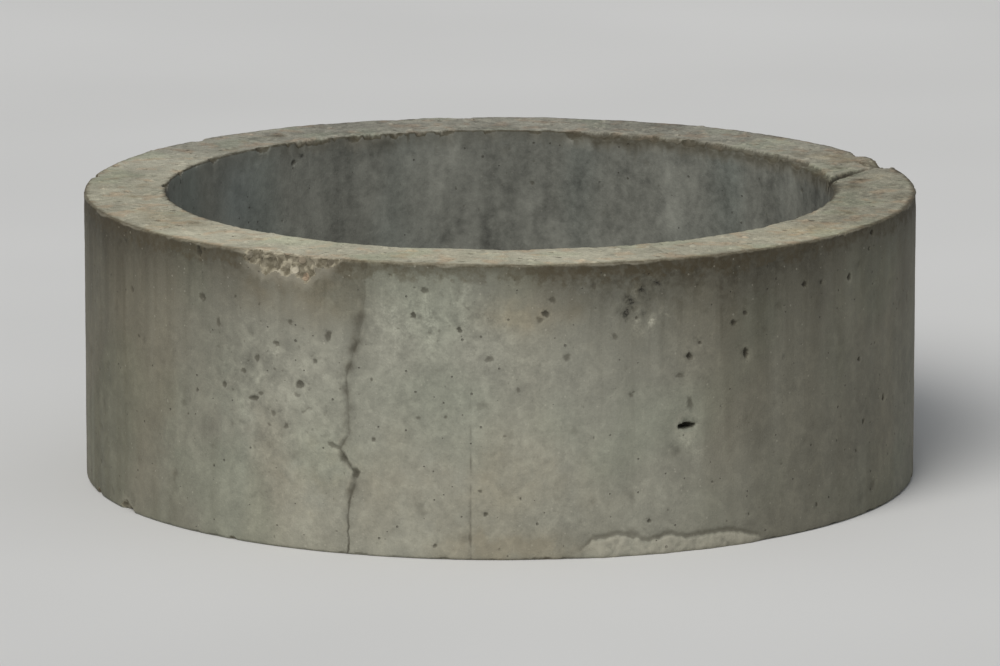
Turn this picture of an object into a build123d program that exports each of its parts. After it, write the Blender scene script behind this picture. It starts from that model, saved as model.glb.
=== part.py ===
from build123d import *
import math
import os

os.makedirs("parts", exist_ok=True)

# Precast concrete culvert ring: a short plain-ended tube cast in one piece, standing on its end.
# Millimetres, +Z up along the bore's axis, origin at the centre of the bottom face.
# XY angles are counted from +X towards +Y, so -90 is the front.

# --- driving dimensions ---------------------------------------------------
BORE_D = 600.0          # clear diameter of the bore
WALL = 75.0             # wall thickness
HEIGHT = 260.0          # end to end
ARRIS_TOP_OUT = 4.0     # rounding of the struck top face's outer edge
ARRIS_TOP_IN = 4.0      # rounding of the struck top face's inner edge
ARRIS_BOTTOM = 3.0      # rounding of both edges of the moulded bottom face

OUTER_R = BORE_D / 2 + WALL
BORE_R = BORE_D / 2

# --- damage ---------------------------------------------------------------
# Each spall is scooped by a ball that stands off the arris:
# (name, XY angle, depth down the wall, depth across the face, length along the arris)
OUTER_SPALLS = [
    ("front spall, main scoop", -119.5, 19.0, 10.0, 66.0),
    ("front spall, tail", -113.9, 11.0, 7.0, 36.0),
    ("front spall, left nick", -124.7, 13.0, 6.0, 28.0),
    ("right rim spall", 19.5, 7.0, 27.0, 56.0),
    ("right rim spall, tail", 27.5, 5.0, 13.0, 34.0),
    ("left arris nick", 171.0, 8.0, 7.0, 26.0),
    ("rear arris nick", 96.0, 9.0, 8.0, 30.0),
    ("rear left arris nick", 139.0, 6.0, 7.0, 22.0),
]
INNER_SPALLS = [
    ("back inner nick, long", 70.0, 8.0, 6.5, 34.0),
    ("back inner nick, short", 61.5, 6.0, 6.0, 20.0),
    ("back inner nick, right", 54.0, 7.0, 7.0, 24.0),
    ("crack mouth on the right", 7.0, 7.0, 8.0, 16.0),
    ("back inner nick, left", 109.0, 6.0, 6.0, 22.0),
]
BOTTOM_SPALLS = [
    ("left foot nick", -152.0, 9.0, 6.0, 30.0),
    ("left foot nick, small", -163.0, 6.0, 5.0, 18.0),
    ("rear foot nick", 58.0, 10.0, 7.0, 32.0),
]
# air hole in the outer wall: XY angle, height, width, depth
AIR_HOLE = (-64.5, 111.0, 13.0, 7.5)


def ball(down, across, length):
    """Stand-offs (out from the wall, up from the face) and radius of a ball that cuts an arris:
    down the wall by `down`, across the face by `across`, along the arris by `length`."""
    half = length / 2
    # (out, up, r) with  sqrt(r2 - out2) - up = down,  sqrt(r2 - up2) - out = across,
    # r2 - out2 - up2 = half2
    up = (half * half - down * down) / (2 * down)
    out = (half * half - across * across) / (2 * across)
    return out, up, math.sqrt(half * half + out * out + up * up)


def at(angle, radius, z):
    a = math.radians(angle)
    return Pos(radius * math.cos(a), radius * math.sin(a), z)


# --- the ring -------------------------------------------------------------
with BuildPart() as ring:
    with BuildSketch(Plane.XZ) as section:
        with Locations((BORE_R + WALL / 2, HEIGHT / 2)):
            Rectangle(WALL, HEIGHT)
        corners = section.vertices()
        top_out = [v for v in corners if v.X > BORE_R + 1 and v.Z > 1]
        top_in = [v for v in corners if v.X < BORE_R + 1 and v.Z > 1]
        low = [v for v in corners if v.Z < 1]
        fillet(top_out, ARRIS_TOP_OUT)
        fillet(top_in, ARRIS_TOP_IN)
        fillet(low, ARRIS_BOTTOM)
    revolve(axis=Axis.Z)

body = ring.part

cutters = []
for _, angle, down, across, length in OUTER_SPALLS:
    out, up, r = ball(down, across, length)
    cutters.append(at(angle, OUTER_R + out, HEIGHT + up) * Sphere(r))
for _, angle, down, across, length in INNER_SPALLS:
    out, up, r = ball(down, across, length)
    cutters.append(at(angle, BORE_R - out, HEIGHT + up) * Sphere(r))
for _, angle, down, across, length in BOTTOM_SPALLS:
    out, up, r = ball(down, across, length)
    cutters.append(at(angle, OUTER_R + out, -up) * Sphere(r))

# the air hole is a ball too, sunk so that its mouth on the wall has the stated width
angle, z, width, depth = AIR_HOLE
r = (width * width / 4 + depth * depth) / (2 * depth)
cutters.append(at(angle, OUTER_R + r - depth, z) * Sphere(r))

for cutter in cutters:
    body = body - cutter

solid = body.solids()[0]
solid.label = "concrete_ring"
export_step(solid, "parts/concrete_ring.step")

print("solids", len(body.solids()), "volume cm3", round(solid.volume / 1000, 1))
box = solid.bounding_box()
print("box", [round(v, 3) for v in (*box.min, *box.max)])
c = solid.center(CenterOf.MASS)
print("centroid", round(c.X, 4), round(c.Y, 4), round(c.Z, 4))
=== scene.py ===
import math

import bpy
import numpy as np
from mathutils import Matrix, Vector
from mathutils.kdtree import KDTree


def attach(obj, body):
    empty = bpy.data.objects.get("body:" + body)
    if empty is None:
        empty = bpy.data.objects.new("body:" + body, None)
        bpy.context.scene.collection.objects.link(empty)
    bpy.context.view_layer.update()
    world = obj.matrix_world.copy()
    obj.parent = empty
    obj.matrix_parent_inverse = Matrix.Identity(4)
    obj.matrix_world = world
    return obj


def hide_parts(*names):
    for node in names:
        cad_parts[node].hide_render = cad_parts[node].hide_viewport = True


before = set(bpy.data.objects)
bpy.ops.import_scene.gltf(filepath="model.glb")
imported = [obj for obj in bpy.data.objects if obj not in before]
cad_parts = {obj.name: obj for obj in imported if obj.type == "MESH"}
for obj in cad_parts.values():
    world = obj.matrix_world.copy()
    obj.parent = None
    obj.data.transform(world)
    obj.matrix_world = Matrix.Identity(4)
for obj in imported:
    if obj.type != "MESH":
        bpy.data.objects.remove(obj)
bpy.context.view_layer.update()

# Sizes in millimetres; the mesh is turned into metres at the end.
# XY angles run from +X towards +Y, so the front is at -90 degrees.
R_OUT, R_IN, TOP = 374.35, 300.40, 259.20
ARRIS_OUT, ARRIS_IN, FOOT = 2.8, 2.0, 3.0
MOST_FACES = 196_000


# --------------------------------------------------------------------------
# noise that gives the same numbers on every run
# --------------------------------------------------------------------------
def hashed(ix, iy, iz, seed):
    h = ix.astype(np.uint32) * np.uint32(0x8DA6B343)
    h ^= iy.astype(np.uint32) * np.uint32(0xD8163841)
    h ^= iz.astype(np.uint32) * np.uint32(0xCB1AB31F)
    h ^= np.uint32((seed * 0x9E3779B1) & 0xFFFFFFFF)
    h ^= h >> np.uint32(15)
    h *= np.uint32(0x2C1B3C6D)
    h ^= h >> np.uint32(12)
    h *= np.uint32(0x297A2D39)
    h ^= h >> np.uint32(15)
    return h


def gn(p, size, seed=0):
    """Gradient noise, about -1 to 1, with features of the given size in mm (a number, or one for each axis)."""
    q = (p / np.asarray(size, np.float32) + np.float32(517.3)).astype(np.float32)
    i = np.floor(q)
    f = q - i
    i = i.astype(np.int64)
    u = f * f * f * (f * (f * 6 - 15) + 10)
    total = np.zeros(q.shape[:-1], np.float32)
    for dx in (0, 1):
        wx = u[..., 0] if dx else 1 - u[..., 0]
        for dy in (0, 1):
            wy = wx * (u[..., 1] if dy else 1 - u[..., 1])
            for dz in (0, 1):
                h = hashed(i[..., 0] + dx, i[..., 1] + dy, i[..., 2] + dz, seed)
                g = ((h & np.uint32(1023)).astype(np.float32) / 511.5 - 1) * (f[..., 0] - dx)
                g += (((h >> np.uint32(10)) & np.uint32(1023)).astype(np.float32) / 511.5 - 1) * (f[..., 1] - dy)
                g += (((h >> np.uint32(20)) & np.uint32(1023)).astype(np.float32) / 511.5 - 1) * (f[..., 2] - dz)
                total += g * wy * (u[..., 2] if dz else 1 - u[..., 2])
    return np.clip(total * 2.1, -1.4, 1.4)


def line_noise(x, size, seed):
    """The same along a line, for a 1-D array."""
    x = np.asarray(x, np.float32)
    return gn(np.stack([x, x * 0 + seed * 3.1, x * 0], -1), size, seed)


def cells(p, size, seed=0):
    """Cellular noise: distance to the nearest and next nearest centre, in cells, and a number from 0 to 1 for the nearest cell."""
    q = p / size + 517.3
    i = np.floor(q).astype(np.int64)
    f1 = np.full(q.shape[:-1], 9.0, np.float32)
    f2, who = f1.copy(), np.zeros(q.shape[:-1], np.float32)
    for dx in (-1, 0, 1):
        for dy in (-1, 0, 1):
            for dz in (-1, 0, 1):
                c = i + (dx, dy, dz)
                h = hashed(c[..., 0], c[..., 1], c[..., 2], seed)
                o = np.stack([(h >> np.uint32(s)) & np.uint32(1023) for s in (0, 10, 20)], -1) / 1023.0
                d = np.sqrt((((c + o) - q) ** 2).sum(-1))
                near = d < f1
                f2 = np.where(near, f1, np.minimum(f2, d))
                f1 = np.where(near, d, f1)
                who = np.where(near, (hashed(c[..., 2], c[..., 0], c[..., 1], seed + 7) & np.uint32(1023)) / 1023.0, who)
    return f1, f2, who


def step(lo, hi, x):
    t = np.clip((x - lo) / (hi - lo), 0, 1)
    return t * t * (3 - 2 * t)


# --------------------------------------------------------------------------
# the grid: columns go round the ring, rows go round its section
# --------------------------------------------------------------------------
PITCH = 1.3
SEAM_AT, SEAM_BACK = -110.3, 70.5


def column_angles():
    """Column angles, drawn together where the mould's seams run."""
    a = np.linspace(-math.pi, math.pi, 36001)
    dense = np.ones_like(a)
    for mark, reach, more in ((SEAM_AT, 17, 1.7), (SEAM_BACK, 8, 1.2)):
        d = (np.degrees(a) - mark + 180) % 360 - 180
        dense += more * np.exp(-((np.radians(d) * 375 / reach) ** 4))
    total = np.concatenate([[0], np.cumsum((dense[1:] + dense[:-1]) / 2)])
    n = int(round(total[-1] / 36000 * 2 * math.pi * 375 / PITCH / 4)) * 4
    return np.interp((np.arange(n) + 0.5) / n * total[-1], total, a)


theta = column_angles()
NT = len(theta)


def rows_of(length, pitch=PITCH):
    return max(2, int(round(length / pitch)))


def arc(cr, cz, rad, a0, a1, n):
    a = np.radians(np.linspace(a0, a1, n + 2)[1:-1])
    return np.stack([cr + rad * np.cos(a), cz + rad * np.sin(a), np.cos(a), np.sin(a)], 1)


def run(r0, z0, r1, z1, nr, nz, n):
    t = np.linspace(0, 1, n + 1)
    return np.stack([r0 + (r1 - r0) * t, z0 + (z1 - z0) * t, t * 0 + nr, t * 0 + nz], 1)


n_arris = 4
parts = [
    run(R_OUT, FOOT, R_OUT, TOP - ARRIS_OUT, 1, 0, rows_of(TOP - ARRIS_OUT - FOOT)),
    arc(R_OUT - ARRIS_OUT, TOP - ARRIS_OUT, ARRIS_OUT, 0, 90, n_arris),
    run(R_OUT - ARRIS_OUT, TOP, R_IN + ARRIS_IN, TOP, 0, 1, rows_of(R_OUT - R_IN - ARRIS_OUT - ARRIS_IN, PITCH * 1.05)),
    arc(R_IN + ARRIS_IN, TOP - ARRIS_IN, ARRIS_IN, 90, 180, n_arris),
    run(R_IN, TOP - ARRIS_IN, R_IN, FOOT, -1, 0, rows_of(TOP - ARRIS_IN - FOOT, PITCH * 1.25)),
    arc(R_IN + FOOT, FOOT, FOOT, 180, 270, 2),
    run(R_IN + FOOT, 0, R_OUT - FOOT, 0, 0, -1, 14),
    arc(R_OUT - FOOT, FOOT, FOOT, 270, 360, n_arris - 1),
]
section = np.concatenate(parts).astype(np.float32)
kind = np.concatenate([np.full(len(p), k) for k, p in enumerate(parts)])
NS = len(section)
r0, z0, nr, nz = (section[:, k][:, None] for k in range(4))
cos_t, sin_t = np.cos(theta)[None], np.sin(theta)[None]
base = np.stack(np.broadcast_arrays(r0 * cos_t, r0 * sin_t, z0 + 0 * cos_t), -1).astype(np.float32)
normal = np.stack(np.broadcast_arrays(nr * cos_t, nr * sin_t, nz + 0 * cos_t), -1).astype(np.float32)
deg = np.degrees(theta)[None]  # of each column
w_out, w_top = np.clip(nr, 0, 1) ** 2, np.clip(nz, 0, 1) ** 2
w_in, w_bot = np.clip(-nr, 0, 1) ** 2, np.clip(-nz, 0, 1) ** 2
OUT = np.where((kind == 0) | (kind == 1) | (kind == 7))[0]
TOPS = np.where((kind == 1) | (kind == 2) | (kind == 3))[0]
BORE = np.where((kind == 3) | (kind == 4) | (kind == 5))[0]


def blank():
    return np.zeros((NS, NT), np.float32)


height = blank()  # along the nominal normal
drop = blank()  # straight down
pit_shade, seam, smudge_and_shade, lip, crack, flash, chip = (blank() for _ in range(7))
tone, warm, mottle = blank(), blank(), blank()  # skin: lighter or darker, browner, patchier


def around(angle):
    """Signed angle from the given XY angle to each column, in degrees."""
    return (deg - angle + 180) % 360 - 180


def at_rows(rows, size, seed):
    return gn(base[rows], size, seed)


def ring_knots(knots):
    """A value for each column, smoothly through (XY angle, value) knots that go round the ring."""
    a = np.array([k[0] for k in knots], float)
    v = np.array([k[1] for k in knots], float)
    a = np.concatenate([a - 360, a, a + 360])
    v = np.concatenate([v, v, v])
    fine = np.linspace(-180, 180, 721)
    raw = np.interp(fine, a, v)
    w = np.hanning(25)
    soft = np.convolve(np.concatenate([raw[-13:-1], raw, raw[1:13]]), w / w.sum(), "valid")
    return np.interp(deg[0], fine, soft)[None].astype(np.float32)


ring_line = np.stack([base[0, :, 0], base[0, :, 1], base[0, :, 0] * 0], -1)  # one row of places round the ring


def ring_noise(size, seed):
    return gn(ring_line, size, seed)[None]


# slow waves and out-of-roundness
wave = gn(base[:, ::4], 260, 1) * 0.42 + gn(base[:, ::4], 75, 2) * 0.20
wave = np.repeat(wave, 4, axis=1)[:, :NT]
k = np.ones(9) / 9
wave = np.apply_along_axis(lambda a: np.convolve(np.concatenate([a[-4:], a, a[:4]]), k, "valid"), 1, wave)
height += wave * (w_out + w_in)

# outer wall: the even skin of a steel mould, with shallow ripples
height[OUT] += w_out[OUT] * (0.12 * at_rows(OUT, (22, 22, 30), 3) + 0.08 * at_rows(OUT, 8, 4))
# bore: a rougher skin, drawn by the core
height[BORE] += w_in[BORE] * (0.22 * at_rows(BORE, (26, 26, 60), 5) + 0.12 * at_rows(BORE, (8, 8, 16), 6))
# top: struck off by hand
height[TOPS] += w_top[TOPS] * (
    0.36 * at_rows(TOPS, 130, 7) + 0.32 * at_rows(TOPS, 42, 8) + 0.26 * at_rows(TOPS, 17, 9) + 0.22 * at_rows(TOPS, 7.5, 10) - 0.25
)

# --- mould seams ----------------------------------------------------------
# offset of the front seam from its line, in mm, by height
SEAM_WAY = [(0, -2.0), (9, -0.7), (29, -1.3), (46, -0.7), (61, 3.3), (72, 6.3), (83, -3.0), (93, -8.6), (100, -4.5), (106, -0.4),
            (123, -1.3), (139, -2.6), (156, -2.6), (171, 1.3), (186, 7.0), (209, 11.6), (229, 13.6), (250, 15.4), (262, 16.0)]
SEAM_DARK = [(0, 0.62), (20, 0.56), (44, 0.52), (58, 0.44), (84, 0.42), (90, 0.36), (100, 0.16), (112, 0.26), (125, 0.18),
             (138, 0.34), (160, 0.36), (172, 0.20), (183, 0.28), (192, 0.12), (204, 0.05), (262, 0.06)]
SEAM_WIDE = [(0, 0.85), (45, 0.9), (58, 1.9), (84, 2.4), (92, 1.8), (110, 1.3), (140, 1.7), (160, 1.8), (182, 1.8), (192, 1.3), (262, 1.0)]
SEAM_DEEP = [(0, 0.9), (45, 0.8), (60, 0.75), (84, 0.8), (95, 0.5), (110, 0.3), (150, 0.4), (182, 0.4), (200, 0.2), (262, 0.2)]
SEAM_SOFT = [(0, 0.36), (40, 0.34), (58, 0.85), (84, 1.0), (100, 0.58), (120, 0.55), (150, 0.90), (172, 0.82), (188, 1.05), (197, 0.66), (208, 0.92), (222, 0.48), (262, 0.36)]


def by_height(z, table):
    return np.interp(z, [a for a, _ in table], [b for _, b in table])


zz = z0[OUT][:, 0]
for angle, seed, front in ((SEAM_AT, 41, True), (SEAM_BACK, 47, False)):
    if front:
        way = by_height(zz, SEAM_WAY) + 0.9 * line_noise(zz, 15, seed) + 0.7 * line_noise(zz, 5, seed + 1)
        dark, wide, deep, soft = (by_height(zz, t) for t in (SEAM_DARK, SEAM_WIDE, SEAM_DEEP, SEAM_SOFT))
    else:
        way = 1.4 * line_noise(zz, 90, seed) + 0.8 * line_noise(zz, 12, seed + 1)
        dark, wide, deep, soft = 0.5 + 0 * zz, 1.0 + 0 * zz, 1.2 + 0 * zz, 0.35 + 0 * zz
    dark = np.clip(dark * (1 + 0.55 * line_noise(zz, 8, seed + 2)), 0, 1)[:, None]
    deep = (deep * (1 + 0.45 * line_noise(zz, 9, seed + 3)))[:, None]
    wide = (wide * (1 + 0.35 * line_noise(zz, 7, seed + 4)))[:, None]
    du = np.radians(around(angle)) * R_OUT - way[:, None]
    groove = np.exp(-((du / wide) ** 2))
    ridge_l = np.clip(line_noise(zz, 14, seed + 5) + 0.2, 0, 1)[:, None] * np.exp(-(((du + 4.4) / 2.2) ** 2))
    ridge_r = np.clip(line_noise(zz, 19, seed + 6) + 0.1, 0, 1)[:, None] * np.exp(-(((du - 3.8) / 2.0) ** 2))
    side = step(-1.2, 1.2, du) * np.exp(-np.abs(du) / 60) * 0.35
    height[OUT] += w_out[OUT] * (-deep * groove + 0.7 * ridge_l + 0.8 * ridge_r - side)
    # the groove's darkness: stain and painted shade
    seam[OUT] = np.maximum(seam[OUT], groove * dark)
    ragged = np.clip(0.75 + 0.8 * at_rows(OUT, 9, seed + 7) + 0.4 * at_rows(OUT, 4, seed + 8), 0, 1.6)
    # a dark smudge along the seam: stain and painted shade
    smudge_and_shade[OUT] += np.exp(-(((du + 0.8) / 5.6) ** 2)) * soft[:, None] * ragged * 0.85
    if front:  # browner and darker to the left of the seam's top, clean and pale to its right
        high, left_of = step(190, 212, z0[OUT]), 1 - step(-2.5, 2.5, du)
        fade_l, fade_r = np.exp(np.clip(du, -400, 0) / 62), np.exp(-np.clip(du, 0, 400) / 46)
        tone[OUT] += high * (-0.36 * left_of * fade_l + 0.26 * (1 - left_of) * fade_r)
        warm[OUT] += high * 0.40 * left_of * fade_l


# --- holes ----------------------------------------------------------------
def dent(rows, along, angle, v, a, b, depth, turn=0.0, sharp=0.5, wobble=0.2, seed=0, mark=1.0, up=False):
    """Presses an uneven round hole (or raises a crumb) of half-widths a (round the ring) and b into the rows."""
    radius = {"out": R_OUT, "bore": R_IN}.get(along)
    coord = r0[rows, 0] if along == "top" else z0[rows, 0]
    reach = 1.5 * max(a, b) + 2
    sel = rows[np.abs(coord - v) < reach]
    rad = radius or v
    cols = np.where(np.abs(around(angle)[0]) < math.degrees(reach / rad))[0]
    if not len(sel) or not len(cols):
        return
    du = np.radians(around(angle)[:, cols]) * rad
    dv = ((r0[sel, 0] if along == "top" else z0[sel, 0]) - v)[:, None]
    t = math.radians(turn)
    x, y = du * math.cos(t) + dv * math.sin(t), -du * math.sin(t) + dv * math.cos(t)
    phi = np.arctan2(y / b, x / a)
    ph = np.random.default_rng(seed * 977 + 13).uniform(0, 6.28, 5)
    edge = 1 + wobble * (
        0.5 * np.sin(2 * phi + ph[0]) + 0.35 * np.sin(3 * phi + ph[1]) + 0.3 * np.sin(5 * phi + ph[2])
        + 0.22 * np.sin(8 * phi + ph[3]) + 0.15 * np.sin(13 * phi + ph[4])
    )
    d2 = ((x / a) ** 2 + (y / b) ** 2) / edge ** 2
    shape = np.clip(1 - d2, 0, 1) ** sharp
    where = np.ix_(sel, cols)
    if up:
        height[where] += depth * shape
    else:
        height[where] -= depth * shape
        # painted shade in the hole, as dark as mark
        pit_shade[where] = np.maximum(pit_shade[where], mark * shape)


# the holes and dents that show on the front: XY angle, z, half width, half height, depth, turn, sharpness, darkness of
# the painted shade in it
FRONT_HOLES = [
    (-64.5, 111, 8.6, 3.1, 8.0, 0, 0.45, 1.0), (-64.5, 111.0, 5.6, 2.2, 4.0, 0, 0.5, 1.0),
    (-64.0, 130, 4.4, 8.5, 0.9, 6, 1.2, 0.34), (-64.1, 172, 3.0, 3.3, 2.6, 0, 0.6, 0.80), (-64.2, 171, 6.0, 6.6, 0.7, 20, 1.2, 0.34),
    (-55.3, 169, 2.8, 4.8, 3.0, 10, 0.6, 0.85), (-55.5, 168, 5.6, 7.8, 0.7, 0, 1.2, 0.34), (-57.3, 197, 2.8, 2.6, 2.0, 0, 0.7, 0.62),
    (-57.2, 196, 5.8, 5.0, 0.6, 0, 1.2, 0.28), (-65.5, 156, 6.0, 3.4, 0.7, 8, 1.2, 0.30), (-74.7, 194, 3.4, 4.4, 0.7, 10, 1.1, 0.26),
    (-81.2, 178, 4.0, 5.0, 0.8, 0, 1.0, 0.34), (-91.4, 177, 4.8, 3.8, 0.9, 0, 1.0, 0.36), (-95.3, 202, 2.6, 2.8, 2.0, 0, 0.6, 0.70),
    (-99.9, 236, 4.6, 3.2, 1.3, 14, 0.8, 0.42), (-113.3, 191, 4.0, 5.0, 1.2, -8, 0.9, 0.42), (-117.5, 146, 4.0, 4.3, 2.2, 0, 0.6, 0.68),
    (-124.8, 129, 6.2, 2.4, 1.8, 3, 0.7, 0.58), (-121.1, 180, 3.6, 2.6, 1.4, -10, 0.8, 0.45), (-124.2, 165, 3.0, 4.0, 1.3, 0, 0.8, 0.42),
    (-130.8, 191, 3.0, 4.4, 1.0, 0, 0.9, 0.32), (-133.7, 211, 5.0, 4.0, 1.3, 0, 0.9, 0.42), (-149.7, 202, 3.2, 3.6, 0.9, 0, 0.9, 0.32),
    (-129.8, 137, 2.6, 3.4, 1.4, 0, 0.7, 0.50), (-112.5, 95, 6.5, 3.4, 1.3, -20, 0.9, 0.34), (-109.4, 73, 4.8, 4.6, 1.6, 30, 0.9, 0.40),
    (-111.2, 84, 4.2, 4.8, 1.1, -35, 1.0, 0.30), (-69.9, 30, 2.0, 2.2, 1.4, 0, 0.6, 0.55), (-92.6, 61, 1.6, 2.0, 1.2, 0, 0.6, 0.5),
    (-84.8, 211, 3.6, 4.2, 0.9, 5, 1.0, 0.28), (-83.1, 228, 4.0, 3.4, 0.9, 0, 1.0, 0.28), (-77.6, 239, 3.0, 3.4, 0.9, 0, 1.0, 0.30),
    (-119.6, 108, 2.6, 3.0, 1.0, 0, 0.8, 0.40), (-126.5, 152, 3.4, 2.6, 1.0, 12, 0.8, 0.38), (-121.6, 118, 3.4, 3.6, 0.8, 0, 1.0, 0.28),
    (-115.2, 168, 3.0, 2.6, 1.0, 0, 0.8, 0.36), (-118.9, 200, 3.0, 2.8, 0.9, 0, 0.9, 0.34), (-106.9, 103, 2.4, 2.0, 1.2, 0, 0.7, 0.45),
    (-87.6, 150, 2.4, 3.2, 0.7, 0, 1.0, 0.24), (-100.8, 124, 2.8, 2.2, 0.7, 0, 1.0, 0.24), (-72.5, 142, 2.6, 3.0, 0.7, 0, 1.0, 0.24),
]
for n, (ang, v, a, b, d, turn, sharp, dark) in enumerate(FRONT_HOLES):
    dent(OUT, "out", ang, v, a, b, d, turn, sharp, 0.05 if n < 2 else 0.24, n + 1, dark)


def scatter(rows, along, count, vlo, vhi, small, large, power, deep, seed, keep=None, up=False, sharp=0.5, mark=1.0):
    g = np.random.default_rng(seed)
    for n in range(count):
        ang, v = g.uniform(-180, 180), g.uniform(vlo, vhi)
        a = small + (large - small) * g.random() ** power
        b = a * g.uniform(0.7, 1.35)
        d = deep * a * g.uniform(0.5, 1.1)
        turn, luck = g.uniform(-90, 90), g.random()
        if keep is not None and luck > keep(ang, v, a):
            continue
        dent(rows, along, ang, v, a, b, d, turn, sharp, 0.24, seed + n, mark * min(1.0, 0.22 + a / 3.6), up)


def where_bubbles_gather(ang, v, a):
    """Fewer in the plain skin at the front, none of size beside the listed marks."""
    d = abs((ang + 122 + 180) % 360 - 180)
    odds = 0.34 + 0.5 * math.exp(-((d / 17) ** 2)) + (0.2 if v > 205 else 0)
    if -160 < ang < -45:
        odds *= 0.75
        if a > 1.7:
            odds *= 0.15
    if abs(ang + 64.5) < 5 and 85 < v < 140:
        odds = 0
    return odds


k = 1.0
scatter(OUT, "out", int(1000 * k), 8, 252, 0.7, 3.2, 3.4, 0.8, 1001, where_bubbles_gather, mark=0.85)
scatter(OUT, "out", int(240 * k), 8, 250, 3.0, 9.0, 2.0, 0.07, 1002, None, sharp=1.2, mark=0.10)
scatter(BORE, "bore", int(380 * k), 8, 250, 0.8, 2.8, 3.2, 0.6, 1003, mark=0.45)
scatter(BORE, "bore", int(110 * k), 8, 250, 4.0, 10.0, 2.0, 0.06, 1004, None, sharp=1.3, mark=0.05)
scatter(TOPS, "top", int(380 * k), 306, 369, 0.9, 3.4, 2.8, 0.6, 1005, mark=0.75)
scatter(TOPS, "top", int(1000 * k), 304, 371, 0.9, 3.4, 2.4, 0.40, 1006, None, up=True, sharp=0.6)


# --- patches of skin --------------------------------------------------------
def patch(rows, rad, angle, v, a, b, turn=0.0):
    """A soft oval patch, 1 in its middle; half-widths in mm. On a wall rad is its radius and v a height, on the top rad is None and v a radius."""
    du = np.radians(around(angle)) * (rad or v)
    dv = (z0[rows] if rad else r0[rows]) - v
    t = math.radians(turn)
    x, y = du * math.cos(t) + dv * math.sin(t), -du * math.sin(t) + dv * math.cos(t)
    return np.exp(-((x / a) ** 2) - ((y / b) ** 2))


rag = 1 + 0.7 * at_rows(OUT, 15, 101) + 0.45 * at_rows(OUT, 6.5, 102)
torn = np.clip(1 + 1.1 * at_rows(OUT, 5.5, 103) + 0.8 * at_rows(OUT, 3.2, 104), 0, 2.6)
# XY angle, z, half width, half height, turn, lighter/darker, browner
WALL_SKIN = [
    (-103.5, 208, 24, 34, 0, 0.30, -0.1),   # clean skin right of the seam
    (-99.3, 206, 4.5, 24, 4, 0.50, 0.0),    # pale upright streak in it
    (-94.8, 226, 3.5, 20, -3, 0.45, 0.0),   # and another
    (-90.0, 184, 40, 26, 0, 0.14, 0.0),
    (-87.5, 215, 30, 13, 0, 0.10, 0.90),    # pinkish patch under the lip
    (-80.0, 219, 9, 8, 0, -0.25, 0.7),
    (-72.9, 222, 4.2, 13, -10, -1.5, 0.1),   # V of two dark runs
    (-75.6, 233, 4.6, 10, -25, -1.1, 0.2),
    (-73.4, 213, 2.8, 8, 6, -1.2, 0.0),
    (-70.9, 231, 4.2, 9.5, 22, -1.5, 0.0),
    (-69.1, 238, 5.0, 9, 30, -1.5, 0.2),
    (-70.8, 212, 2.6, 6, 20, -1.1, 0.0),
    (-74.4, 215, 3.4, 8, -8, 1.8, 0.0),    # pale curls beside and between them
    (-71.8, 203, 3.6, 7.5, 14, 2.1, 0.0),
    (-69.7, 206, 3.4, 7.0, -24, 1.8, 0.0),
    (-72.0, 235, 3.4, 6.5, 0, 1.9, 0.0),
    (-71.3, 221, 2.6, 7.5, -16, 1.5, 0.0),
    (-67.9, 214, 3.2, 6.0, 24, 1.2, 0.0),
    (-61.5, 188, 20, 22, 0, 0.10, 0.0),
    (-73.0, 130, 26, 60, 0, -0.07, 0.0),
    # painted shade: the right side darker
    (-57.0, 120, 24, 90, 0, -0.34, 0.0),
    (-63.7, 90, 4.6, 14, 32, 0.75, 0.0),    # pale slanting streak under the large hole
    (-66.3, 92, 4.0, 12, 24, -0.40, 0.0),
    (-88.0, 12, 66, 13, 0, -0.14, 0.75),    # brownish foot
    (-85.0, 30, 34, 16, 0, 0.12, -0.2),
    (-121.4, 171, 9, 8, 0, 0.40, 0.0),      # pale islands left of the seam
    (-124.6, 147, 8, 5, 0, 0.26, 0.0),
    (-119.0, 132, 12, 9, 0, 0.20, 0.0),
    (-126.5, 112, 9, 10, 0, 0.16, 0.0),
    (-121.0, 96, 14, 9, 0, 0.18, 0.0),
    (-114.5, 228, 26, 24, 0, -0.22, 0.75),  # brownish left of the seam's top
    (-124.0, 226, 30, 18, 0, -0.10, 0.65),
    (-123.0, 240, 30, 9, 0, -0.24, 0.6),
    (-109.0, 204, 7, 7, 0, -0.65, 0.0),     # dark smudges on the seam
    (-109.4, 186, 6, 8, 0, -0.60, 0.0),
    (-113.2, 191, 6, 8, 0, -0.50, 0.0),
    (-119.6, 181, 10, 5, 12, -0.40, 0.0),
    (-125.5, 161, 5, 9, 0, -0.40, 0.0),
    (-117.0, 120, 7, 9, 20, -0.35, 0.0),
    (-122.5, 121, 6, 6, 0, -0.30, 0.0),
    (-127.5, 178, 6, 7, 0, -0.30, 0.0),
    (-116.0, 66, 60, 40, 0, 0.06, 0.30),
    (-90.0, 64, 110, 44, 0, 0.0, 0.28),     # warmer lower half
    (-140.0, 64, 26, 30, 0, 0.16, -0.35),
    (-129.0, 120, 34, 70, 0, 0.0, -0.30),   # cooler, greener to the left of the seam
    (-81.0, 120, 46, 60, 0, 0.03, 0.0),
    (35.0, 120, 90, 60, 0, 0.16, 0.0), (120.0, 70, 70, 60, 0, -0.16, 0.2), (160.0, 190, 60, 50, 0, 0.14, 0.3),
    (-20.0, 200, 80, 50, 0, -0.16, 0.3), (-8.0, 80, 60, 50, 0, 0.14, 0.0), (88.0, 190, 60, 50, 0, 0.12, 0.1),
]
for ang, v, a, b, turn, light, brown in WALL_SKIN:
    spread = patch(OUT, R_OUT, ang, v, a, b, turn) * (torn if a < 5.5 else np.clip(rag, 0, 2))
    tone[OUT] += light * spread
    warm[OUT] += brown * spread
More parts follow.
